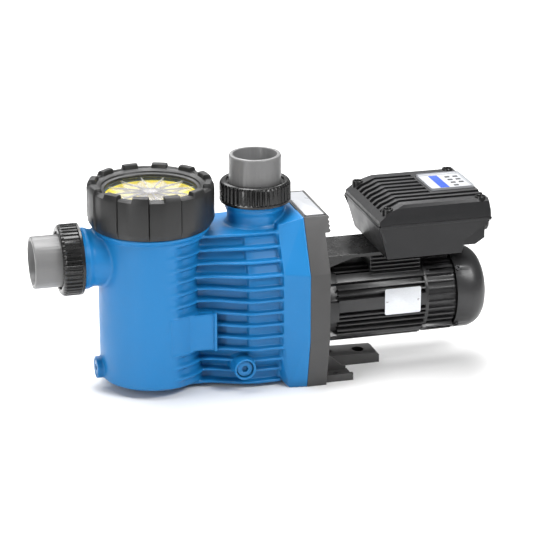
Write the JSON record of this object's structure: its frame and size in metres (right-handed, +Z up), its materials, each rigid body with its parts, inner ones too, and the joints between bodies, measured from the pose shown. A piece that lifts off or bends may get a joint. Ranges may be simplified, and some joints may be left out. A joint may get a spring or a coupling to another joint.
{
  "type": "pool pump",
  "caption": "Self-priming pool pump with strainer pot, threaded lid ring, pipe unions, fan-cooled motor and a speed control box with a keypad.",
  "frame": {"origin": "on the floor, midway between the two foot bolts", "axes": "+X along the shaft towards the fan cover, +Y across the pump away from the front drain, +Z up"},
  "size_m": [0.6713, 0.2, 0.3325],
  "materials": {
    "blue_plastic": "satin moulded",
    "pipe_grey": "satin moulded",
    "black_plastic": "semi-gloss moulded",
    "ring_grey": "fine-textured moulded",
    "clear_lid": "clear moulded",
    "basket_yellow": "translucent moulded",
    "seal_rubber": "matt",
    "bracket_grey": "fine-textured glass-filled",
    "impeller_plastic": "satin moulded",
    "screw_black": "black oxide",
    "steel": "bright",
    "seal_ceramic": "ground",
    "laminations": "stacked sheet",
    "copper": "enamelled wire",
    "motor_black": "powder coated",
    "fan_black": "moulded",
    "box_black": "fine-textured moulded",
    "plate_silver": "anodised, blank",
    "label_white": "blank film",
    "circuit_green": "solder mask",
    "capacitor_blue": "sleeved can",
    "display_blue": "lit panel",
    "key_grey": "soft moulded"
  },
  "bodies": {
    "pump": {"pump_housing": "blue_plastic", "strainer_pot": "blue_plastic", "suction_neck": "blue_plastic", "suction_oring": "seal_rubber", "discharge_oring": "seal_rubber", "motor_bracket": "bracket_grey", "casing_seal": "seal_rubber", "casing_screws": "steel", "diffuser": "impeller_plastic", "seal_seat": "seal_ceramic", "bearing_outer_rings": "steel", "bearing_balls": "steel", "stator_core": "laminations", "stator_windings": "copper", "motor_housing": "motor_black", "drive_end_shield": "motor_black", "fan_end_shield": "motor_black", "shield_screws": "screw_black", "fan_cover": "motor_black", "fan_cover_screws": "screw_black", "rating_plate": "plate_silver", "box_bracket": "motor_black", "control_base": "box_black", "control_gasket": "seal_rubber", "control_lid": "box_black", "control_lid_screws": "screw_black", "circuit_board": "circuit_green", "capacitors": "capacitor_blue", "display_panel": "label_white", "display_window": "display_blue", "cable_glands": "black_plastic", "gland_nuts": "black_plastic", "type_label": "label_white"},
    "suction_tail": {"suction_tail": "pipe_grey"},
    "suction_nut": {"suction_nut": "black_plastic"},
    "discharge_tail": {"discharge_tail": "pipe_grey"},
    "discharge_nut": {"discharge_nut": "black_plastic"},
    "lid": {"lid_cover": "clear_lid", "lid_seal": "seal_rubber"},
    "lid_ring": {"lid_ring": "ring_grey"},
    "basket": {"strainer_basket": "basket_yellow"},
    "drain_seal_front": {"drain_seal_front": "seal_rubber"},
    "drain_plug_front": {"drain_plug_front": "blue_plastic"},
    "drain_seal_side": {"drain_seal_side": "seal_rubber"},
    "drain_plug_side": {"drain_plug_side": "blue_plastic"},
    "rotor": {"motor_shaft": "steel", "rotor_core": "laminations", "impeller": "impeller_plastic", "impeller_nut": "steel", "seal_head": "seal_rubber", "seal_spring": "steel", "bearing_inner_rings": "steel", "cooling_fan": "fan_black"},
    "key_1": {"key_1": "key_grey"},
    "key_2": {"key_2": "key_grey"},
    "key_3": {"key_3": "key_grey"},
    "key_4": {"key_4": "key_grey"},
    "key_5": {"key_5": "key_grey"},
    "key_6": {"key_6": "key_grey"},
    "key_7": {"key_7": "key_grey"}
  },
  "joints": [
    {"name": "suction_tail_slide", "type": "slide", "parent": "pump", "child": "suction_tail", "axis": [-1, 0, 0], "range_m": [0, 0.012]},
    {"name": "suction_nut_turn", "type": "hinge", "parent": "suction_tail", "child": "suction_nut", "pos_m": [-0.38, 0, 0.198], "axis": [-1, 0, 0], "range_deg": [0, 1440]},
    {"name": "discharge_tail_slide", "type": "slide", "parent": "pump", "child": "discharge_tail", "axis": [0, 0, 1], "range_m": [0, 0.012]},
    {"name": "discharge_nut_turn", "type": "hinge", "parent": "discharge_tail", "child": "discharge_nut", "pos_m": [-0.105, 0, 0.28], "axis": [0, 0, 1], "range_deg": [0, 1440]},
    {"name": "lid_lift", "type": "slide", "parent": "pump", "child": "lid", "axis": [0, 0, 1], "range_m": [0, 0.33]},
    {"name": "lid_ring_turn", "type": "hinge", "parent": "lid", "child": "lid_ring", "pos_m": [-0.258, 0, 0.27], "axis": [0, 0, 1], "range_deg": [0, 540]},
    {"name": "basket_lift", "type": "slide", "parent": "pump", "child": "basket", "axis": [0, 0, 1], "range_m": [0, 0.264]},
    {"name": "drain_front_slide", "type": "slide", "parent": "pump", "child": "drain_seal_front", "axis": [0, -1, 0], "range_m": [0, 0.012]},
    {"name": "drain_front_turn", "type": "hinge", "parent": "drain_seal_front", "child": "drain_plug_front", "pos_m": [-0.143, -0.08, 0.038], "axis": [0, -1, 0], "range_deg": [0, 2160]},
    {"name": "drain_side_slide", "type": "slide", "parent": "pump", "child": "drain_seal_side", "axis": [-1, 0, 0], "range_m": [0, 0.01]},
    {"name": "drain_side_turn", "type": "hinge", "parent": "drain_seal_side", "child": "drain_plug_side", "pos_m": [-0.34, 0, 0.03], "axis": [-1, 0, 0], "range_deg": [0, 1800]},
    {"name": "shaft_spin", "type": "hinge", "parent": "pump", "child": "rotor", "pos_m": [0.07, 0, 0.102], "axis": [1, 0, 0], "continuous": true},
    {"name": "key_1_press", "type": "slide", "parent": "pump", "child": "key_1", "axis": [0, 0, -1], "range_m": [0, 0.0006], "stiffness_N_per_m": 500, "springref_m": -0.0002},
    {"name": "key_2_press", "type": "slide", "parent": "pump", "child": "key_2", "axis": [0, 0, -1], "range_m": [0, 0.0006], "stiffness_N_per_m": 500, "springref_m": -0.0002},
    {"name": "key_3_press", "type": "slide", "parent": "pump", "child": "key_3", "axis": [0, 0, -1], "range_m": [0, 0.0006], "stiffness_N_per_m": 500, "springref_m": -0.0002},
    {"name": "key_4_press", "type": "slide", "parent": "pump", "child": "key_4", "axis": [0, 0, -1], "range_m": [0, 0.0006], "stiffness_N_per_m": 500, "springref_m": -0.0002},
    {"name": "key_5_press", "type": "slide", "parent": "pump", "child": "key_5", "axis": [0, 0, -1], "range_m": [0, 0.0006], "stiffness_N_per_m": 500, "springref_m": -0.0002},
    {"name": "key_6_press", "type": "slide", "parent": "pump", "child": "key_6", "axis": [0, 0, -1], "range_m": [0, 0.0006], "stiffness_N_per_m": 500, "springref_m": -0.0002},
    {"name": "key_7_press", "type": "slide", "parent": "pump", "child": "key_7", "axis": [0, 0, -1], "range_m": [0, 0.0006], "stiffness_N_per_m": 500, "springref_m": -0.0002}
  ],
  "couplings": [
    {"joint": "suction_tail_slide", "follows": "suction_nut_turn", "m_per_rad": 0.000477},
    {"joint": "discharge_tail_slide", "follows": "discharge_nut_turn", "m_per_rad": 0.000477},
    {"joint": "basket_lift", "follows": "lid_lift", "ratio": 0.8},
    {"joint": "drain_front_slide", "follows": "drain_front_turn", "m_per_rad": 0.000318},
    {"joint": "drain_side_slide", "follows": "drain_side_turn", "m_per_rad": 0.000318}
  ]
}
